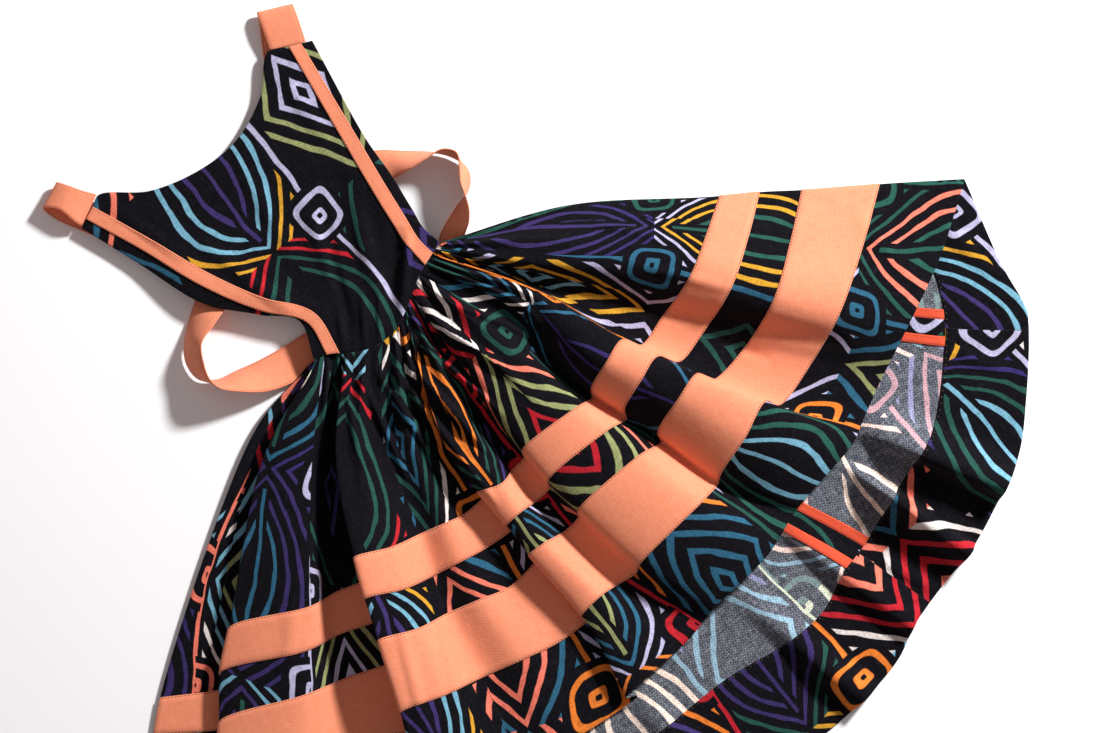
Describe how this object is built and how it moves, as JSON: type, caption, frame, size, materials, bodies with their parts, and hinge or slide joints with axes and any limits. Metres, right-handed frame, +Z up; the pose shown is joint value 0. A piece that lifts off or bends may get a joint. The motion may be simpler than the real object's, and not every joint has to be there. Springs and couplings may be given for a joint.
{
  "type": "apron dress",
  "caption": "apron dress laid flat: printed bib, cross-back straps looping out at the sides, gathered skirt with a narrow and a wide plain band, hem open on the inside of the back",
  "frame": {"origin": "bottom centre of the bounding box of the dress as it lies", "axes": "+Z up from the surface it lies on, +Y towards the shoulders along the skirt's middle, -Y towards the hem, +X to the viewer's right with the shoulders away"},
  "size_m": [1.135, 0.9189, 0.0532],
  "materials": {
    "bib_front": "matt printed cotton",
    "bib_tape_left": "soft cotton twill",
    "bib_tape_right": "soft cotton twill",
    "strap_left": "soft cotton twill",
    "strap_right": "soft cotton twill",
    "skirt_front": "matt printed cotton",
    "skirt_band_narrow": "soft cotton twill",
    "skirt_band_wide": "soft cotton twill",
    "skirt_back": "matt cotton, paler inside of the print",
    "hem_facing": "matt printed cotton",
    "seam_1_allowance": "matt printed cotton",
    "seam_1_binding_a": "satin weave tape",
    "seam_1_binding_b": "satin weave tape",
    "seam_2_allowance": "matt printed cotton",
    "seam_2_binding_a": "satin weave tape",
    "seam_2_binding_b": "satin weave tape"
  },
  "bodies": {
    "root": {"bib_front": "bib_front", "bib_tape_left": "bib_tape_left", "bib_tape_right": "bib_tape_right", "strap_left": "strap_left", "strap_right": "strap_right", "skirt_front": "skirt_front", "skirt_band_narrow": "skirt_band_narrow", "skirt_band_wide": "skirt_band_wide", "skirt_back": "skirt_back", "hem_facing": "hem_facing", "seam_1_allowance": "seam_1_allowance", "seam_1_binding_a": "seam_1_binding_a", "seam_1_binding_b": "seam_1_binding_b", "seam_2_allowance": "seam_2_allowance", "seam_2_binding_a": "seam_2_binding_a", "seam_2_binding_b": "seam_2_binding_b"}
  },
  "joints": []
}
